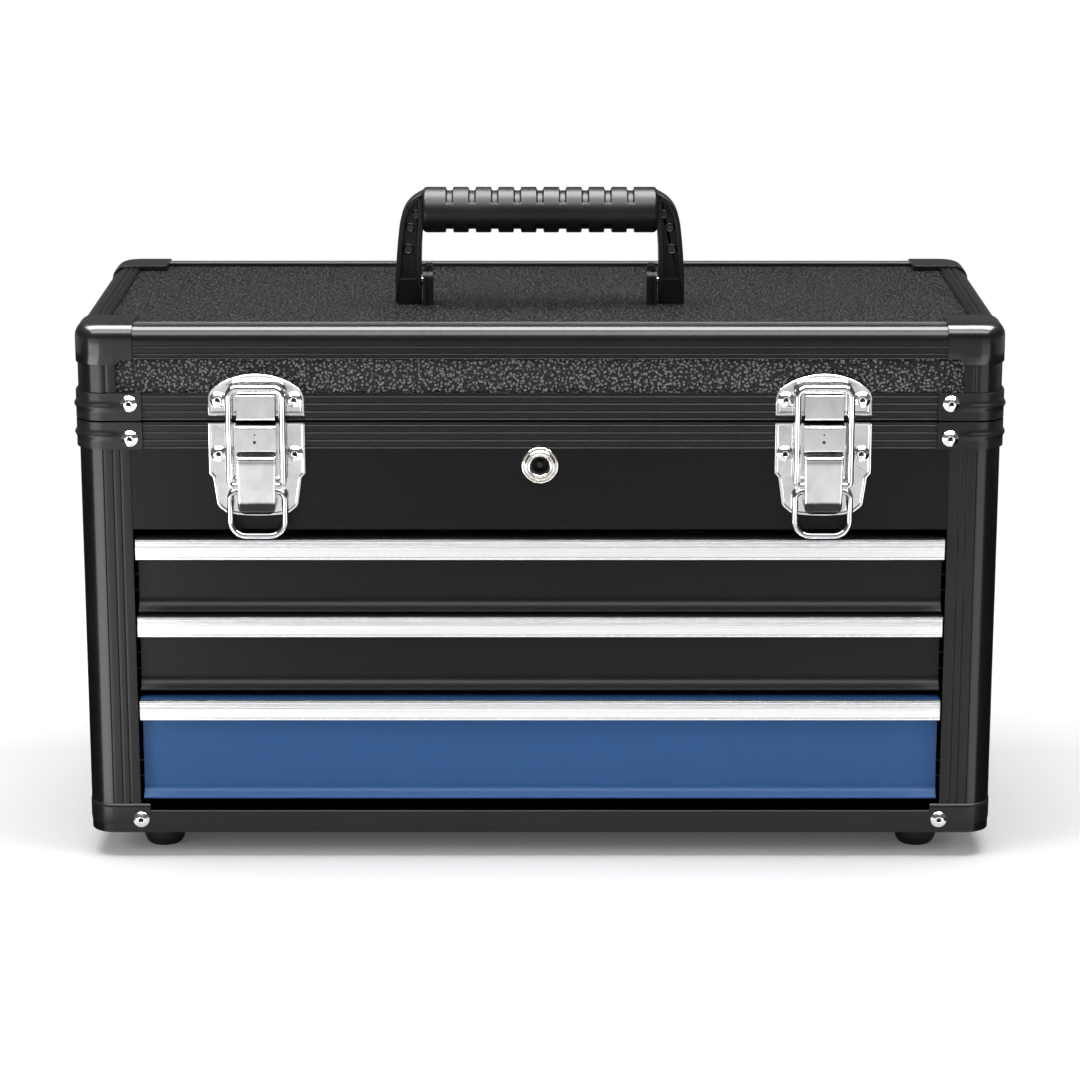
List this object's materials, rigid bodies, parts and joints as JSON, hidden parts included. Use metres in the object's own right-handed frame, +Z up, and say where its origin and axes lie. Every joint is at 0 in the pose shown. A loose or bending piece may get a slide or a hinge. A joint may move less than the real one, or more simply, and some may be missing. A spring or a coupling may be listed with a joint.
{
  "type": "portable tool box with drawers",
  "caption": "Portable tool chest with a hinged lid over a till, wide shallow drawers with full-width pulls, draw latches, a cam lock and a folding carry handle.",
  "frame": {"origin": "on the floor, under the middle of the chest's overall box", "axes": "+Z up, +X to the right seen from the front, +Y from the front to the back"},
  "size_m": [0.5218, 0.24, 0.3738],
  "materials": {
    "black_anodised": "black anodised, satin",
    "bright_aluminium": "finely lined, bright",
    "chromed_steel": "polished",
    "zinc_steel": "plain",
    "black_sheet": "satin",
    "blue_sheet": "satin",
    "black_coated_steel": "satin",
    "pebbled_black": "pebbled laminate",
    "black_board": "fine-grained laminate",
    "black_plastic": "moulded, satin",
    "black_rubber": "matte"
  },
  "bodies": {
    "case": {"base_left_panel": "black_board", "base_right_panel": "black_board", "base_back_panel": "black_board", "base_bottom_panel": "black_sheet", "upper_front_panel": "black_sheet", "till_floor": "black_sheet", "front_left_post": "black_anodised", "front_right_post": "black_anodised", "rear_posts": "black_anodised", "bottom_rails": "black_anodised", "base_rim_rails": "black_anodised", "base_corner_straps": "black_coated_steel", "bottom_corner_caps": "black_coated_steel", "rubber_feet": "black_rubber", "foot_screws": "zinc_steel", "base_rivets": "chromed_steel", "slide_channels": "zinc_steel", "left_latch_base": "chromed_steel", "right_latch_base": "chromed_steel", "lock_barrel": "chromed_steel", "lock_clip": "zinc_steel", "hinge_base_leaves": "zinc_steel", "hinge_pins": "chromed_steel"},
    "lock_core": {"lock_plug": "chromed_steel", "lock_cam": "zinc_steel"},
    "lid": {"lid_top_panel": "pebbled_black", "lid_front_panel": "pebbled_black", "lid_back_panel": "pebbled_black", "lid_end_panels": "pebbled_black", "lid_top_rails": "black_anodised", "lid_rim_rails": "black_anodised", "lid_corner_posts": "black_anodised", "lid_corner_caps": "black_plastic", "lid_corner_straps": "black_coated_steel", "lid_rivets": "chromed_steel", "latch_strikes": "chromed_steel", "hinge_lid_leaves": "zinc_steel", "handle_brackets": "black_plastic", "lock_catch": "zinc_steel"},
    "carry_handle": {"handle_grip": "black_plastic", "handle_arms": "black_plastic", "handle_pivots": "chromed_steel"},
    "left_lever": {"left_latch_lever": "chromed_steel"},
    "left_bail": {"left_latch_bail": "chromed_steel"},
    "left_ring": {"left_latch_ring": "chromed_steel"},
    "right_lever": {"right_latch_lever": "chromed_steel"},
    "right_bail": {"right_latch_bail": "chromed_steel"},
    "right_ring": {"right_latch_ring": "chromed_steel"},
    "top_drawer": {"top_drawer_tray": "zinc_steel", "top_drawer_front": "black_sheet", "top_drawer_pull": "bright_aluminium", "top_drawer_runners": "zinc_steel"},
    "middle_drawer": {"middle_drawer_tray": "zinc_steel", "middle_drawer_front": "black_sheet", "middle_drawer_pull": "bright_aluminium", "middle_drawer_runners": "zinc_steel"},
    "bottom_drawer": {"bottom_drawer_tray": "zinc_steel", "bottom_drawer_front": "blue_sheet", "bottom_drawer_pull": "bright_aluminium", "bottom_drawer_runners": "zinc_steel"}
  },
  "joints": [
    {"name": "lid_hinge", "type": "hinge", "parent": "case", "child": "lid", "pos_m": [0, 0.11685, 0.256], "axis": [-1, 0, 0], "range_deg": [0, 95]},
    {"name": "handle_swing", "type": "hinge", "parent": "lid", "child": "carry_handle", "pos_m": [0, -0.02265, 0.3201], "axis": [1, 0, 0], "range_deg": [-85, 85]},
    {"name": "lock_turn", "type": "hinge", "parent": "case", "child": "lock_core", "pos_m": [0, -0.10865, 0.2309], "axis": [0, 1, 0], "range_deg": [0, 90]},
    {"name": "left_lever_swing", "type": "hinge", "parent": "case", "child": "left_lever", "pos_m": [-0.1574, -0.11465, 0.2349], "axis": [-1, 0, 0], "range_deg": [0, 90]},
    {"name": "left_bail_swing", "type": "hinge", "parent": "left_lever", "child": "left_bail", "pos_m": [-0.1574, -0.11715, 0.2211], "axis": [-1, 0, 0], "range_deg": [-100, 0]},
    {"name": "left_ring_swing", "type": "hinge", "parent": "left_lever", "child": "left_ring", "pos_m": [-0.1574, -0.11365, 0.217], "axis": [-1, 0, 0], "range_deg": [0, 60]},
    {"name": "right_lever_swing", "type": "hinge", "parent": "case", "child": "right_lever", "pos_m": [0.1574, -0.11465, 0.2349], "axis": [-1, 0, 0], "range_deg": [0, 90]},
    {"name": "right_bail_swing", "type": "hinge", "parent": "right_lever", "child": "right_bail", "pos_m": [0.1574, -0.11715, 0.2211], "axis": [-1, 0, 0], "range_deg": [-100, 0]},
    {"name": "right_ring_swing", "type": "hinge", "parent": "right_lever", "child": "right_ring", "pos_m": [0.1574, -0.11365, 0.217], "axis": [-1, 0, 0], "range_deg": [0, 60]},
    {"name": "top_drawer_slide", "type": "slide", "parent": "case", "child": "top_drawer", "axis": [0, -1, 0], "range_m": [0, 0.15]},
    {"name": "middle_drawer_slide", "type": "slide", "parent": "case", "child": "middle_drawer", "axis": [0, -1, 0], "range_m": [0, 0.15]},
    {"name": "bottom_drawer_slide", "type": "slide", "parent": "case", "child": "bottom_drawer", "axis": [0, -1, 0], "range_m": [0, 0.15]}
  ],
  "couplings": [
    {"joint": "left_bail_swing", "follows": "left_lever_swing", "ratio": -1.1},
    {"joint": "right_bail_swing", "follows": "right_lever_swing", "ratio": -1.1}
  ]
}
